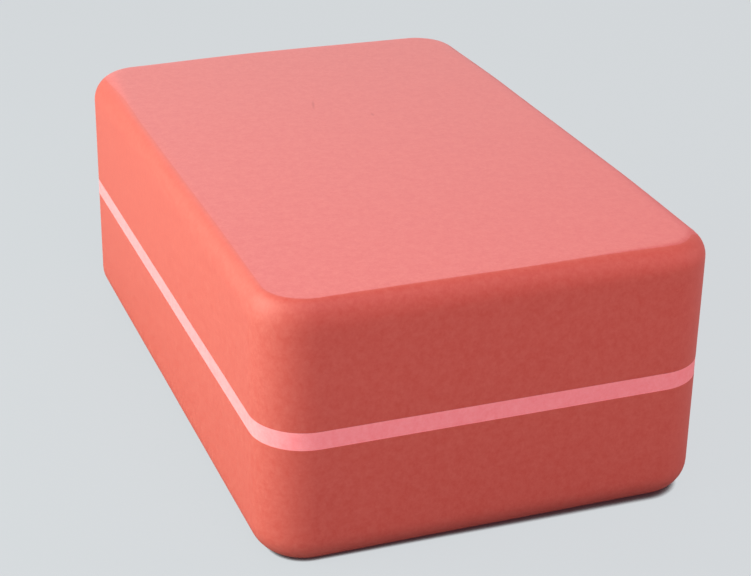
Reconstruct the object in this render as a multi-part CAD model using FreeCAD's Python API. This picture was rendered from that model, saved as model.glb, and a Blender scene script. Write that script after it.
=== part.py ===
import FreeCAD, Part
import os

# A foam yoga block lying flat: two thick coral slabs glued to a thin pink centre sheet, whose edge
# shows as a stripe round all four sides. Millimetres; X across the width, Y along the length, Z up,
# with the origin in the middle of the underside.

# Outline of the block, seen from above.
block_length = 234.0
block_width = 150.0
corner_radius = 17.25

# Layers from the floor up: slab, glue, sheet, glue, slab. Both slabs are cut from one thick sheet.
slab_thickness = 42.0
sheet_thickness = 5.7
glue_thickness = 0.15

# Rolled edges: a tight one round the top and a wider one round the underside.
top_edge_round = 5.5
bottom_edge_round = 10.0

# The pink foam is the softer one, so sanding takes its edge back a little further than the slabs'.
sheet_setback = 0.2

# Levels at which the layers meet.
lower_glue_level = slab_thickness
sheet_level = lower_glue_level + glue_thickness
upper_glue_level = sheet_level + sheet_thickness
upper_slab_level = upper_glue_level + glue_thickness


def layer(level, thickness, setback=0):
    """A flat layer with the block's outline, drawn in by the setback, and rounded upright corners."""
    width = block_width - 2 * setback
    length = block_length - 2 * setback
    plate = Part.makeBox(width, length, thickness, FreeCAD.Vector(-width / 2, -length / 2, level))
    uprights = [edge for edge in plate.Edges if edge.Vertexes[0].Z != edge.Vertexes[-1].Z]
    return plate.makeFillet(corner_radius - setback, uprights)


def height_of(face):
    return face.CenterOfMass.z


def lower_slab():
    """The slab that stands on the floor, with its lower edge rolled."""
    slab = layer(0, slab_thickness)
    underside = min(slab.Faces, key=height_of)
    return slab.makeFillet(bottom_edge_round, underside.Edges)


def lower_bond():
    """The film of adhesive between the lower slab and the centre sheet."""
    return layer(lower_glue_level, glue_thickness, sheet_setback)


def centre_sheet():
    """The pink sheet whose edge is the stripe."""
    return layer(sheet_level, sheet_thickness, sheet_setback)


def upper_bond():
    """The film of adhesive between the centre sheet and the upper slab."""
    return layer(upper_glue_level, glue_thickness, sheet_setback)


def upper_slab():
    """The slab on top, with its upper edge rolled."""
    slab = layer(upper_slab_level, slab_thickness)
    top = max(slab.Faces, key=height_of)
    return slab.makeFillet(top_edge_round, top.Edges)


pieces = {
    "lower_slab": lower_slab(),
    "lower_bond": lower_bond(),
    "centre_sheet": centre_sheet(),
    "upper_bond": upper_bond(),
    "upper_slab": upper_slab(),
}

os.makedirs("parts", exist_ok=True)
for name, piece in pieces.items():
    piece.exportStep("parts/" + name + ".step")
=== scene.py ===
import math

import bmesh
import bpy
from mathutils import Matrix, Vector, noise


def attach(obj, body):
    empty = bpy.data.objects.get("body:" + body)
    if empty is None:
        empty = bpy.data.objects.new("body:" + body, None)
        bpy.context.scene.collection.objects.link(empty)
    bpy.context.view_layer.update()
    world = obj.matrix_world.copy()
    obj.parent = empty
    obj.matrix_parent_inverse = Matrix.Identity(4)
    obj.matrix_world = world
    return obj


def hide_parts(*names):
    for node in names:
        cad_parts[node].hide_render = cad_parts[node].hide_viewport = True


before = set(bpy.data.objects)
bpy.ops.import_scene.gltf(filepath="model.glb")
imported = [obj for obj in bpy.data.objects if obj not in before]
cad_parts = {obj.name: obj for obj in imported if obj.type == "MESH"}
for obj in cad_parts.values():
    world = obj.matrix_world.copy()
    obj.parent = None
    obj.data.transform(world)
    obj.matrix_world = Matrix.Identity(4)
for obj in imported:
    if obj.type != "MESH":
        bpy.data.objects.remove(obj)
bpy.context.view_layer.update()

# A firm foam yoga block: two coral slabs glued to a pink centre sheet. Metres, in the frame of the
# solids. The keys -1 and 1 of the tables below are the signs of X and Y.

MM = 0.001
RIGHT_ANGLE = math.radians(90)
HALF_RIGHT_ANGLE = math.radians(45)

# The block's outline and layers.
HALF_WIDTH = 75.0 * MM
HALF_LENGTH = 117.0 * MM
CORNER_RADIUS = 17.25 * MM
LOWER_GLUE = 42.0 * MM
SHEET_FOOT = 42.15 * MM
SHEET_HEAD = 47.85 * MM
UPPER_GLUE = 48.0 * MM
BLOCK_HEIGHT = 90.0 * MM
SHEET_SETBACK = 0.05 * MM

# Rolled edges. The top one is sanded by hand: each side, end and corner has its own depth and
# height, and they change gradually within the swell's reach of a corner.
TOP_DEPTH_AT_SIDES = {-1: 5.1 * MM, 1: 5.5 * MM}
TOP_DEPTH_AT_ENDS = {-1: 5.2 * MM, 1: 6.6 * MM}
TOP_DEPTH_AT_CORNERS = {
    (-1, -1): 4.6 * MM,
    (1, -1): 7.4 * MM,
    (1, 1): 7.4 * MM,
    (-1, 1): 10.1 * MM,
}
TOP_HEIGHT_AT_SIDES = {-1: 8.0 * MM, 1: 5.5 * MM}
TOP_HEIGHT_AT_ENDS = {-1: 8.4 * MM, 1: 6.6 * MM}
TOP_HEIGHT_AT_CORNERS = {
    (-1, -1): 9.5 * MM,
    (1, -1): 7.4 * MM,
    (1, 1): 7.4 * MM,
    (-1, 1): 10.1 * MM,
}
SWELL_REACH = 68.0 * MM
BOTTOM_ROLL = 10.0 * MM
GLUE_EDGE_EASE = 0.03 * MM

# Fineness of the meshes.
ARC_STEPS = 10
WIDTH_STEPS = 46
LENGTH_STEPS = 80
WALL_STEP = 2.5 * MM
CAP_STEPS = 5
ROLL_STEPS = 10
MERGE_DISTANCE = 0.002 * MM
SHORTEST_EDGE = 0.001 * MM
SHARP_ANGLE = math.radians(20)

# The top face's paler colour is painted sheen, standing for the light from behind that glances off
# it, and this painted sheen laps over the roll where the roll catches that light: hardly at all on
# the left and front and further on the right and back, and by its own angle at each corner. A lap
# fades quickly as the outline turns away from its side, and the painted sheen gives way to the
# plain cut foam colour within the edge turn.
SHEEN_LAP_AT_SIDES = {-1: math.radians(2.0), 1: math.radians(53.0)}
SHEEN_LAP_AT_ENDS = {-1: math.radians(4.0), 1: math.radians(45.0)}
SHEEN_LAP_AT_CORNERS = {
    (-1, -1): math.radians(2.0),
    (1, -1): math.radians(16.0),
    (1, 1): math.radians(46.0),
    (-1, 1): math.radians(33.0),
}
LAP_FADE = 8
SHEEN_EDGE_TURN = math.radians(2.0)
LAP_STEPS = 4
SHEEN_RINGS = CAP_STEPS + LAP_STEPS + 1

# Name of the vertex attribute that is 1 where the top's sheen is painted and 0 on plain cut foam.
PAINTED_SHEEN_MARK = "painted_sheen"

# Cut foam is never quite flat: slow waves from the saw and small ones from sanding, all inwards.
SLOW_WAVE = 0.10 * MM
SLOW_WAVE_LENGTH = 48.0 * MM
FINE_WAVE = 0.03 * MM
FINE_WAVE_LENGTH = 9.0 * MM
FINE_WAVE_SHIFT = Vector((7.3, 1.9, 4.1))


def waviness(point):
    slow = noise.noise(point / SLOW_WAVE_LENGTH)
    fine = noise.noise(point / FINE_WAVE_LENGTH + FINE_WAVE_SHIFT)
    return SLOW_WAVE * max(0.0, slow) + FINE_WAVE * max(0.0, fine)


def outline():
    """Stations round the block: point on the outline, outward direction, and swell, which is 1 in
    the middle of a corner and 0 away from it."""
    stations = []
    x, y = HALF_WIDTH - CORNER_RADIUS, HALF_LENGTH - CORNER_RADIUS
    corners = [(-x, -y), (x, -y), (x, y), (-x, y)]
    half_arc = CORNER_RADIUS * HALF_RIGHT_ANGLE

    def add(centre, angle, along):
        away = Vector((math.cos(angle), math.sin(angle), 0.0))
        swell = math.cos(RIGHT_ANGLE * min(1.0, along / SWELL_REACH)) ** 2
        stations.append((Vector((*centre, 0.0)) + CORNER_RADIUS * away, away, swell))

    for side in range(4):
        facing = math.radians(270 + 90 * side)
        start, end = corners[side], corners[(side + 1) % 4]
        steps = LENGTH_STEPS if side % 2 else WIDTH_STEPS
        for i in range(ARC_STEPS):
            turn = i / ARC_STEPS - 1
            add(start, facing + HALF_RIGHT_ANGLE * turn, half_arc * (1 + turn))
        for i in range(steps + 1):
            share = i / steps
            along = half_arc + min(share, 1 - share) * math.dist(start, end)
            add([a + (b - a) * share for a, b in zip(start, end)], facing, along)
        for i in range(1, ARC_STEPS):
            turn = i / ARC_STEPS
            add(end, facing + HALF_RIGHT_ANGLE * turn, half_arc * (1 - turn))
    return stations


STATIONS = outline()


def signs(point):
    return tuple(1 if place > 0 else -1 for place in point.xy)


def sanded(at_sides, at_ends, at_corners):
    """A measure of the top roll at each station, blended from the sides and ends to the corners."""
    measures = []
    for point, away, swell in STATIONS:
        side, end = signs(point)
        measure = at_sides[side] * away.x ** 2 + at_ends[end] * away.y ** 2
        measures.append(measure + (at_corners[side, end] - measure) * swell)
    return measures


def sheen_laps():
    """The angle by which the top's painted sheen laps over the roll at each station."""
    laps = []
    for point, away, swell in STATIONS:
        side, end = signs(point)
        lap = SHEEN_LAP_AT_SIDES[side] * away.x ** LAP_FADE
        lap += SHEEN_LAP_AT_ENDS[end] * away.y ** LAP_FADE
        laps.append(max(lap, SHEEN_LAP_AT_CORNERS[side, end] * swell))
    return laps


# A ring has one entry for each station: how far it is drawn in from the outline, its height, and
# how much of the waviness it takes inwards and downwards.

def flat_ring(inset, height, sag=(0.0, 0.0)):
    return [(inset, height, *sag) for _ in STATIONS]


def wall_rings(inset, foot, head):
    steps = max(1, round((head - foot) / WALL_STEP))
    heights = [foot + (head - foot) * i / steps for i in range(steps + 1)]
    return [flat_ring(inset, height, (1.0, 0.0)) for height in heights]


def roll_ring(roll, level, side, angles):
    """One ring of a rolled edge: angle 0 lies on the level face and 90 degrees on the wall."""
    ring = []
    for (depth, height), angle in zip(roll, angles):
        inset = depth * (1 - math.sin(angle))
        fall = height * (1 - math.cos(angle))
        ring.append((inset, level - side * fall, math.sin(angle), side * math.cos(angle)))
    return ring


def slab_rings(level, glue, roll, laps):
    """Rings of a slab: its level face, the lap of the painted sheen, the roll, the wall and in to
    the glue.
    """
    side = 1.0 if level > glue else -1.0
    rings = []
    for i in range(CAP_STEPS):
        share = i / CAP_STEPS
        insets = [CORNER_RADIUS + (depth - CORNER_RADIUS) * share for depth, _ in roll]
        rings.append([(inset, level, 0.0, side) for inset in insets])
    for i in range(LAP_STEPS + 1):
        rings.append(roll_ring(roll, level, side, [lap * i / LAP_STEPS for lap in laps]))
    edges = [lap + SHEEN_EDGE_TURN for lap in laps]
    for i in range(ROLL_STEPS):
        share = i / ROLL_STEPS
        angles = [edge + (RIGHT_ANGLE - edge) * share for edge in edges]
        rings.append(roll_ring(roll, level, side, angles))
    tops = [level - side * height for _, height in roll]
    eased = glue + side * GLUE_EDGE_EASE
    steps = round(abs(level - glue) / WALL_STEP)
    for i in range(steps + 1):
        share = i / steps
        rings.append([(0.0, top * (1 - share) + eased * share, 1.0, 0.0) for top in tops])
    lip = GLUE_EDGE_EASE * (1 - math.sqrt(0.5))
    rings.append(flat_ring(lip, glue + side * lip, (1.0, 0.0)))
    rings.append(flat_ring(GLUE_EDGE_EASE, glue, (1.0, 0.0)))
    for i in range(1, CAP_STEPS + 1):
        inset = GLUE_EDGE_EASE + (CORNER_RADIUS - GLUE_EDGE_EASE) * i / CAP_STEPS
        rings.append(flat_ring(inset, glue))
    return rings


def layer_rings(foot, head):
    """Rings of a glued layer that shows only its edge."""
    rings = [flat_ring(CORNER_RADIUS, foot)]
    rings += wall_rings(SHEET_SETBACK, foot, head)
    rings.append(flat_ring(CORNER_RADIUS, head))
    return rings


def block_piece(name, rings, material, sheen_rings):
    """A closed mesh through the rings, with a plain grid in the middle of both level faces."""
    build = bmesh.new()
    # The attribute marks the vertices where the top's sheen is painted.
    painted_sheen = build.verts.layers.float.new(PAINTED_SHEEN_MARK)

    def vertex(place, away, sag_in, sag_down, sheen_painted):
        drop = waviness(place)
        added = build.verts.new(place - drop * (sag_in * away + Vector((0.0, 0.0, sag_down))))
        added[painted_sheen] = 1.0 if sheen_painted else 0.0
        return added

    levels = []
    for step, ring in enumerate(rings):
        level = []
        for (point, away, _), (inset, height, sag_in, sag_down) in zip(STATIONS, ring):
            place = point - inset * away
            place.z = height
            level.append(vertex(place, away, sag_in, sag_down, step < sheen_rings))
        levels.append(level)
    count = len(STATIONS)
    for low, high in zip(levels, levels[1:]):
        for i in range(count):
            j = (i + 1) % count
            build.faces.new((low[i], low[j], high[j], high[i]))

    inner_x, inner_y = HALF_WIDTH - CORNER_RADIUS, HALF_LENGTH - CORNER_RADIUS
    for ring, sheen_painted in ((rings[0], sheen_rings > 0), (rings[-1], False)):
        _, height, _, sag_down = ring[0]
        grid = []
        for j in range(LENGTH_STEPS + 1):
            y = inner_y * (2 * j / LENGTH_STEPS - 1)
            row = []
            for i in range(WIDTH_STEPS + 1):
                x = inner_x * (2 * i / WIDTH_STEPS - 1)
                row.append(vertex(Vector((x, y, height)), Vector(), 0.0, sag_down, sheen_painted))
            grid.append(row)
        for near, far in zip(grid, grid[1:]):
            for i in range(WIDTH_STEPS):
                build.faces.new((near[i], near[i + 1], far[i + 1], far[i]))

    bmesh.ops.remove_doubles(build, verts=build.verts, dist=MERGE_DISTANCE)
    bmesh.ops.dissolve_degenerate(build, edges=build.edges, dist=SHORTEST_EDGE)
    bmesh.ops.recalc_face_normals(build, faces=build.faces)
    for face in build.faces:
        face.smooth = True
    mesh = bpy.data.meshes.new(name)
    build.to_mesh(mesh)
    build.free()
    mesh.set_sharp_from_angle(angle=SHARP_ANGLE)
    mesh.materials.append(material)
    piece = bpy.data.objects.new(name, mesh)
    bpy.context.scene.collection.objects.link(piece)
    return piece


def srgb(red, green, blue):
    """Linear colour of an 8-bit screen colour."""
    shares = [v / 255 for v in (red, green, blue)]
    return (*[v / 12.92 if v <= 0.04045 else ((v + 0.055) / 1.055) ** 2.4 for v in shares], 1.0)


def grey(value):
    return (value, value, value, 1.0)


class Nodes:
    """Short ways to add and join the nodes of one material or world."""

    # Places of a Mix node's sockets for colours.
    MIX_INPUTS = (0, 6, 7)
    MIX_RESULT = 2

    def __init__(self, tree):
        self.tree = tree
        tree.nodes.clear()

    def add(self, kind, **settings):
        node = self.tree.nodes.new("ShaderNode" + kind)
        for key, value in settings.items():
            setattr(node, key, value)
        return node

    def join(self, source, target):
        self.tree.links.new(source, target)

    def feed(self, socket, value):
        """Set a socket to a constant or join another node's result to it."""
        if isinstance(value, bpy.types.NodeSocket):
            self.join(value, socket)
        else:
            socket.default_value = value

    def maths(self, operation, *values):
        node = self.add("Math", operation=operation)
        for socket, value in zip(node.inputs, values):
            self.feed(socket, value)
        return node.outputs[0]

    def ramp(self, source, low, high):
        """A ramp between two stops, each a place on the source and the colour there."""
        node = self.add("ValToRGB")
        for stop, (place, colour) in zip(node.color_ramp.elements, (low, high)):
            stop.position = place
            stop.color = colour
        self.join(source, node.inputs[0])
        return node.outputs[0]

    def mix(self, kind, *values):
        """Two colours mixed; the values are the factor, the first colour and the second one."""
        node = self.add("Mix", data_type="RGBA", blend_type=kind)
        for socket, value in zip(self.MIX_INPUTS, values):
            self.feed(node.inputs[socket], value)
        return node.outputs[self.MIX_RESULT]


def new_material(name):
    """A material with only its output: the material, its nodes and the output's socket."""
    material = bpy.data.materials.new(name)
    material.use_nodes = True
    n = Nodes(material.node_tree)
    return material, n, n.add("OutputMaterial").inputs["Surface"]


# Screen colours of the foams, and the steps by which their details differ from them.
CORAL = (196, 77.6, 65.3)
# The top's colour is the coral with painted sheen: paler and pinker for the light glancing off it.
CORAL_WITH_PAINTED_SHEEN = (202.5, 89, 85)
PINK = (255, 139, 144)
GRAIN_STEP = (3, 7, 7)
SHEEN_GRAIN_STEP = (4, 10, 10)
PORE_STEP = (16, 16, 16)
SPECK_STEP = (22, 22, 22)
NICK_STEP = (30, 30, 30)

# Patterns in the foam, in repeats to the metre.
GRAIN_SCALE = 450.0
SCUFF_SCALE = 42.0
CELL_SCALE = 1900.0
PORE_SCALE = 230.0
SPECK_SCALE = 120.0

# Ramps over these patterns: two places on the pattern, and what there is of the detail there.
GRAIN_LOW, GRAIN_HIGH = 0.3, 0.7
CELL_SHADES = (0.1, grey(0.985)), (0.6, grey(1.0))
PORE_SHARES = (0.035, grey(0.3)), (0.06, grey(0.0))
SPECK_SHARES = (0.018, grey(0.4)), (0.03, grey(0.0))
SCUFF_SHARES = (0.6, grey(0.0)), (0.72, grey(0.1))
NICK_SHARES = (0.3, grey(0.5)), (1.0, grey(0.0))
FOAM_ROUGHNESS = (GRAIN_LOW, grey(0.56)), (GRAIN_HIGH, grey(0.64))
FOAM_SPECULAR = 0.5

# Strength and depth of the relief.
CELL_BUMP = 0.25, 0.08 * MM
GRAIN_BUMP = 0.1, 0.3 * MM

# Two small nicks in the top face: centre, turn and half the length.
TOP_NICKS = (
    ((-5.4 * MM, 45.0 * MM, BLOCK_HEIGHT), 1.28, 5.5 * MM),
    ((11.8 * MM, 28.5 * MM, BLOCK_HEIGHT), 1.5, 2.0 * MM),
)
NICK_HALF_WIDTH = 0.7 * MM

# The adhesive: repeats of its beads to the metre, and its tints and roughness over them.
BEAD_SCALE = 320.0
FILM_TINTS = (0.35, srgb(250, 135, 140)), (0.65, srgb(255, 142, 147))
FILM_ROUGHNESS = (0.3, grey(0.35)), (0.7, grey(0.5))


def foam(name, colour, sheen_colour=None, nicks=()):
    """Closed-cell foam, cut and sanded: even grain, fine cells, open pores, specks and scuffs."""
    material, n, output = new_material(name)
    surface = n.add("BsdfPrincipled")
    n.join(surface.outputs[0], output)
    place = n.add("TexCoord").outputs["Object"]

    def texture(kind, scale, **inputs):
        node = n.add(kind)
        n.join(place, node.inputs["Vector"])
        node.inputs["Scale"].default_value = scale
        for key, value in inputs.items():
            node.inputs[key].default_value = value
        return node

    def shade(way, steps, own=colour):
        return srgb(*[min(255, v + way * step) for v, step in zip(own, steps)])

    def grained(steps, own):
        low, high = shade(-1, steps, own), shade(1, steps, own)
        return n.ramp(grain, (GRAIN_LOW, low), (GRAIN_HIGH, high))

    def bump(height, strength, depth):
        node = n.add("Bump")
        node.inputs["Strength"].default_value = strength
        node.inputs["Distance"].default_value = depth
        n.join(height, node.inputs["Height"])
        return node

    grain = texture("TexNoise", GRAIN_SCALE, Detail=2.0, Roughness=0.85).outputs["Fac"]
    scuffs = texture("TexNoise", SCUFF_SCALE, Detail=6.0, Roughness=0.75, Distortion=0.6)
    cells = texture("TexVoronoi", CELL_SCALE).outputs["Distance"]
    pores = texture("TexVoronoi", PORE_SCALE).outputs["Distance"]
    specks = texture("TexVoronoi", SPECK_SCALE).outputs["Distance"]

    base = grained(GRAIN_STEP, colour)
    # Where the attribute marks it, the base colour is the painted sheen colour, paler for the light
    # glancing off the top.
    if sheen_colour:
        sheen_painted = n.add("Attribute", attribute_name=PAINTED_SHEEN_MARK)
        base = n.mix("MIX", sheen_painted.outputs["Fac"], base, grained(SHEEN_GRAIN_STEP, sheen_colour))
    base = n.mix("MULTIPLY", 1.0, base, n.ramp(cells, *CELL_SHADES))
    base = n.mix("MIX", n.ramp(pores, *PORE_SHARES), base, shade(-1, PORE_STEP))
    base = n.mix("MIX", n.ramp(specks, *SPECK_SHARES), base, shade(1, SPECK_STEP))
    scuff = n.ramp(scuffs.outputs["Fac"], *SCUFF_SHARES)
    base = n.mix("MIX", scuff, base, shade(1, SPECK_STEP))
    for centre, turn, half_length in nicks:
        marked = n.add("Mapping", vector_type="TEXTURE")
        marked.inputs["Location"].default_value = centre
        marked.inputs["Rotation"].default_value = (0.0, 0.0, turn)
        marked.inputs["Scale"].default_value = (half_length, NICK_HALF_WIDTH, half_length)
        n.join(place, marked.inputs["Vector"])
        reach = n.add("VectorMath", operation="LENGTH")
        n.join(marked.outputs[0], reach.inputs[0])
        nick = n.ramp(reach.outputs["Value"], *NICK_SHARES)
        base = n.mix("MIX", nick, base, shade(-1, NICK_STEP))
    n.join(base, surface.inputs["Base Color"])

    n.join(n.ramp(grain, *FOAM_ROUGHNESS), surface.inputs["Roughness"])
    surface.inputs["Specular IOR Level"].default_value = FOAM_SPECULAR

    cell_bump = bump(cells, *CELL_BUMP)
    grain_bump = bump(grain, *GRAIN_BUMP)
    n.join(cell_bump.outputs[0], grain_bump.inputs["Normal"])
    n.join(grain_bump.outputs[0], surface.inputs["Normal"])
    return material


def adhesive_film():
    """A thin clear film tinted by the foams on both sides of it."""
    material, n, output = new_material("clear_adhesive")
    surface = n.add("BsdfPrincipled")
    n.join(surface.outputs[0], output)
    beads = n.add("TexNoise")
    beads.inputs["Scale"].default_value = BEAD_SCALE
    n.join(n.add("TexCoord").outputs["Object"], beads.inputs["Vector"])
    n.join(n.ramp(beads.outputs["Fac"], *FILM_TINTS), surface.inputs["Base Color"])
    n.join(n.ramp(beads.outputs["Fac"], *FILM_ROUGHNESS), surface.inputs["Roughness"])
    return material


coral = foam("cut_foam_coral", CORAL, CORAL_WITH_PAINTED_SHEEN, TOP_NICKS)
pink = foam("cut_foam_pink", PINK)
film = adhesive_film()

top_roll = list(zip(
    sanded(TOP_DEPTH_AT_SIDES, TOP_DEPTH_AT_ENDS, TOP_DEPTH_AT_CORNERS),
    sanded(TOP_HEIGHT_AT_SIDES, TOP_HEIGHT_AT_ENDS, TOP_HEIGHT_AT_CORNERS),
))
bottom_roll = [(BOTTOM_ROLL, BOTTOM_ROLL) for _ in STATIONS]
bottom_laps = [0.0 for _ in STATIONS]
upper_slab = slab_rings(BLOCK_HEIGHT, UPPER_GLUE, top_roll, sheen_laps())
lower_slab = slab_rings(0.0, LOWER_GLUE, bottom_roll, bottom_laps)
upper_bond = layer_rings(SHEET_HEAD, UPPER_GLUE)
lower_bond = layer_rings(LOWER_GLUE, SHEET_FOOT)
centre_sheet = layer_rings(SHEET_FOOT, SHEET_HEAD)

# The pieces by the node that each one replaces.
block = {
    "lower_slab": ("foam_slab_lower", lower_slab, coral, "coral_foam"),
    "lower_bond": ("adhesive_film_lower", lower_bond, film, "adhesive"),
    "centre_sheet": ("foam_sheet_centre", centre_sheet, pink, "pink_foam"),
    "upper_bond": ("adhesive_film_upper", upper_bond, film, "adhesive"),
    "upper_slab": ("foam_slab_upper", upper_slab, coral, "coral_foam"),
}
for node, (name, rings, material, slot) in block.items():
    # Both coral slabs carry the painted sheen mark on their level face and the rings of its lap.
    piece = block_piece(name, rings, material, SHEEN_RINGS if material is coral else 0)
    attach(piece, "root")
    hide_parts(node)

# Pale studio floor and surroundings, shown at their own colour, which also light the block softly.
# The floor lies a hair below the block's foot.
BACKGROUND = srgb(212, 216, 219)
AMBIENT = grey(1.0)
AMBIENT_STRENGTH = 0.25
FLOOR_HALF = 4.0
FLOOR_DEPTH = 0.05 * MM
FLOOR_BOUNCE = grey(0.4)
SHADOW_SHARE = 0.05

# The dark line under the block's foot widens from left to right: its reach at the middle, and the
# growth of that for each metre of X.
CONTACT_REACH = 2.0 * MM
CONTACT_GROWTH = 10.0 * MM
CONTACT_SHADE = srgb(62, 34, 38)
CONTACT_SHADES = (0.46, CONTACT_SHADE), (0.94, BACKGROUND)
CONTACT_SAMPLES = 8

# Reflections of the floor show the wider shade that the block casts forwards, away from the light
# behind it.
CAST_REACH = 150.0 * MM
CAST_FROM = (-0.5, 0.71, 0.43)
CAST_SHADES = (0.45, CONTACT_SHADE), (0.92, BACKGROUND)
CAST_SAMPLES = 4

# Studio lamps: name, place, size, brightness and colour.
LAMPS = (
    ("side_lamp", (-0.60, 0.05, 0.25), (0.5, 0.4), 9.95, (0.735, 1.0, 0.86)),
    ("corner_lamp", (-0.55, -0.35, 0.45), (0.5, 0.5), 1.7, (0.94, 0.97, 1.0)),
    ("front_lamp", (-0.10, -0.57, 0.71), (0.6, 0.5), 3.53, (1.0, 0.87, 0.99)),
    ("back_lamp", (0.50, 1.90, 1.00), (2.0, 1.3), 2.8, (1.0, 0.985, 0.962)),
    ("right_lamp", (0.60, -0.30, 0.35), (0.4, 0.4), 3.1, (1.0, 0.75, 0.75)),
)


def shown_directly(n):
    """1 for rays that come from the camera or by way of a reflection or clear body, else 0."""
    path = n.add("LightPath")
    seen = n.maths("MAXIMUM", path.outputs["Is Camera Ray"], path.outputs["Is Glossy Ray"])
    return n.maths("MAXIMUM", seen, path.outputs["Is Transmission Ray"])


def surroundings():
    world = bpy.data.worlds.new("studio")
    world.use_nodes = True
    n = Nodes(world.node_tree)
    out = n.add("OutputWorld")
    choice = n.add("MixShader")
    light = n.add("Background")
    light.inputs["Color"].default_value = AMBIENT
    light.inputs["Strength"].default_value = AMBIENT_STRENGTH
    shown = n.add("Background")
    shown.inputs["Color"].default_value = BACKGROUND
    shown.inputs["Strength"].default_value = 1.0
    n.join(shown_directly(n), choice.inputs[0])
    n.join(light.outputs[0], choice.inputs[1])
    n.join(shown.outputs[0], choice.inputs[2])
    n.join(choice.outputs[0], out.inputs["Surface"])
    bpy.context.scene.world = world


def floor_material():
    """The floor's own colour with the block's shade, and a plain surface for bounced light."""
    material, n, output = new_material("studio_floor")
    bounce = n.add("BsdfDiffuse")
    bounce.inputs["Color"].default_value = FLOOR_BOUNCE
    place = n.add("SeparateXYZ")
    n.join(n.add("NewGeometry").outputs["Position"], place.inputs[0])
    contact = n.add("AmbientOcclusion", samples=CONTACT_SAMPLES)
    reach = n.maths("MULTIPLY_ADD", place.outputs["X"], CONTACT_GROWTH, CONTACT_REACH)
    n.join(reach, contact.inputs["Distance"])
    near = n.ramp(contact.outputs["AO"], *CONTACT_SHADES)
    cast = n.add("AmbientOcclusion", samples=CAST_SAMPLES)
    cast.inputs["Distance"].default_value = CAST_REACH
    cast.inputs["Normal"].default_value = CAST_FROM
    wide = n.ramp(cast.outputs["AO"], *CAST_SHADES)
    glow = n.add("Emission")
    seen = n.add("LightPath").outputs["Is Camera Ray"]
    n.join(n.mix("MIX", seen, wide, near), glow.inputs["Color"])
    paint = n.add("BsdfDiffuse")
    paint.inputs["Color"].default_value = BACKGROUND
    look = n.add("MixShader")
    look.inputs[0].default_value = SHADOW_SHARE
    n.join(glow.outputs[0], look.inputs[1])
    n.join(paint.outputs[0], look.inputs[2])
    choice = n.add("MixShader")
    n.join(shown_directly(n), choice.inputs[0])
    n.join(bounce.outputs[0], choice.inputs[1])
    n.join(look.outputs[0], choice.inputs[2])
    n.join(choice.outputs[0], output)
    return material


def studio_floor():
    mesh = bpy.data.meshes.new("studio_floor")
    sides = ((-1, -1), (1, -1), (1, 1), (-1, 1))
    corners = [(x * FLOOR_HALF, y * FLOOR_HALF, -FLOOR_DEPTH) for x, y in sides]
    mesh.from_pydata(corners, [], [(0, 1, 2, 3)])
    mesh.materials.append(floor_material())
    floor = bpy.data.objects.new("studio_floor", mesh)
    bpy.context.scene.collection.objects.link(floor)


def softbox(name, place, size, brightness, colour):
    """A rectangular studio lamp aimed at the middle of the block."""
    lamp = bpy.data.lights.new(name, "AREA")
    lamp.shape = "RECTANGLE"
    lamp.size, lamp.size_y = size
    lamp.energy = brightness * math.pi * size[0] * size[1]
    lamp.color = colour
    stand = bpy.data.objects.new(name, lamp)
    bpy.context.scene.collection.objects.link(stand)
    stand.location = place
    aim = Vector((0.0, 0.0, BLOCK_HEIGHT / 2)) - Vector(place)
    stand.rotation_euler = aim.to_track_quat("-Z", "Y").to_euler()


surroundings()
studio_floor()
for lamp in LAMPS:
    softbox(*lamp)

# The camera stands before the block's near left corner and looks down on it. Angles in radians;
# the aim point's place in the view is given to the right, downwards and ahead.
VIEW_YAW = 0.3640
VIEW_PITCH = 0.4365
VIEW_ROLL = -0.0161
AIM_POINT = Vector((0.0, 0.0, 40.0)) * MM
AIM_IN_VIEW = Vector((-2.8976, -4.9013, 670.9227)) * MM

# The lens and sensor, in millimetres, and the nearest thing shown, in metres.
FOCAL_LENGTH = 89.177
SENSOR_WIDTH = 36.0
CLIP_START = 0.01


def photo_camera():
    ahead = Vector((
        math.sin(VIEW_YAW) * math.cos(VIEW_PITCH),
        math.cos(VIEW_YAW) * math.cos(VIEW_PITCH),
        -math.sin(VIEW_PITCH),
    ))
    level = ahead.cross(Vector((0.0, 0.0, 1.0))).normalized()
    below = ahead.cross(level)
    right = math.cos(VIEW_ROLL) * level + math.sin(VIEW_ROLL) * below
    down = math.cos(VIEW_ROLL) * below - math.sin(VIEW_ROLL) * level
    place = AIM_POINT - right * AIM_IN_VIEW.x - down * AIM_IN_VIEW.y - ahead * AIM_IN_VIEW.z
    lens = bpy.data.cameras.new("photo_camera")
    lens.sensor_fit = "HORIZONTAL"
    lens.sensor_width = SENSOR_WIDTH
    lens.lens = FOCAL_LENGTH
    lens.clip_start = CLIP_START
    camera = bpy.data.objects.new("photo_camera", lens)
    bpy.context.scene.collection.objects.link(camera)
    turn = Matrix((right, -down, -ahead)).transposed()
    camera.matrix_world = Matrix.Translation(place) @ turn.to_4x4()
    bpy.context.scene.camera = camera


photo_camera()
bpy.context.scene.view_settings.view_transform = "Standard"
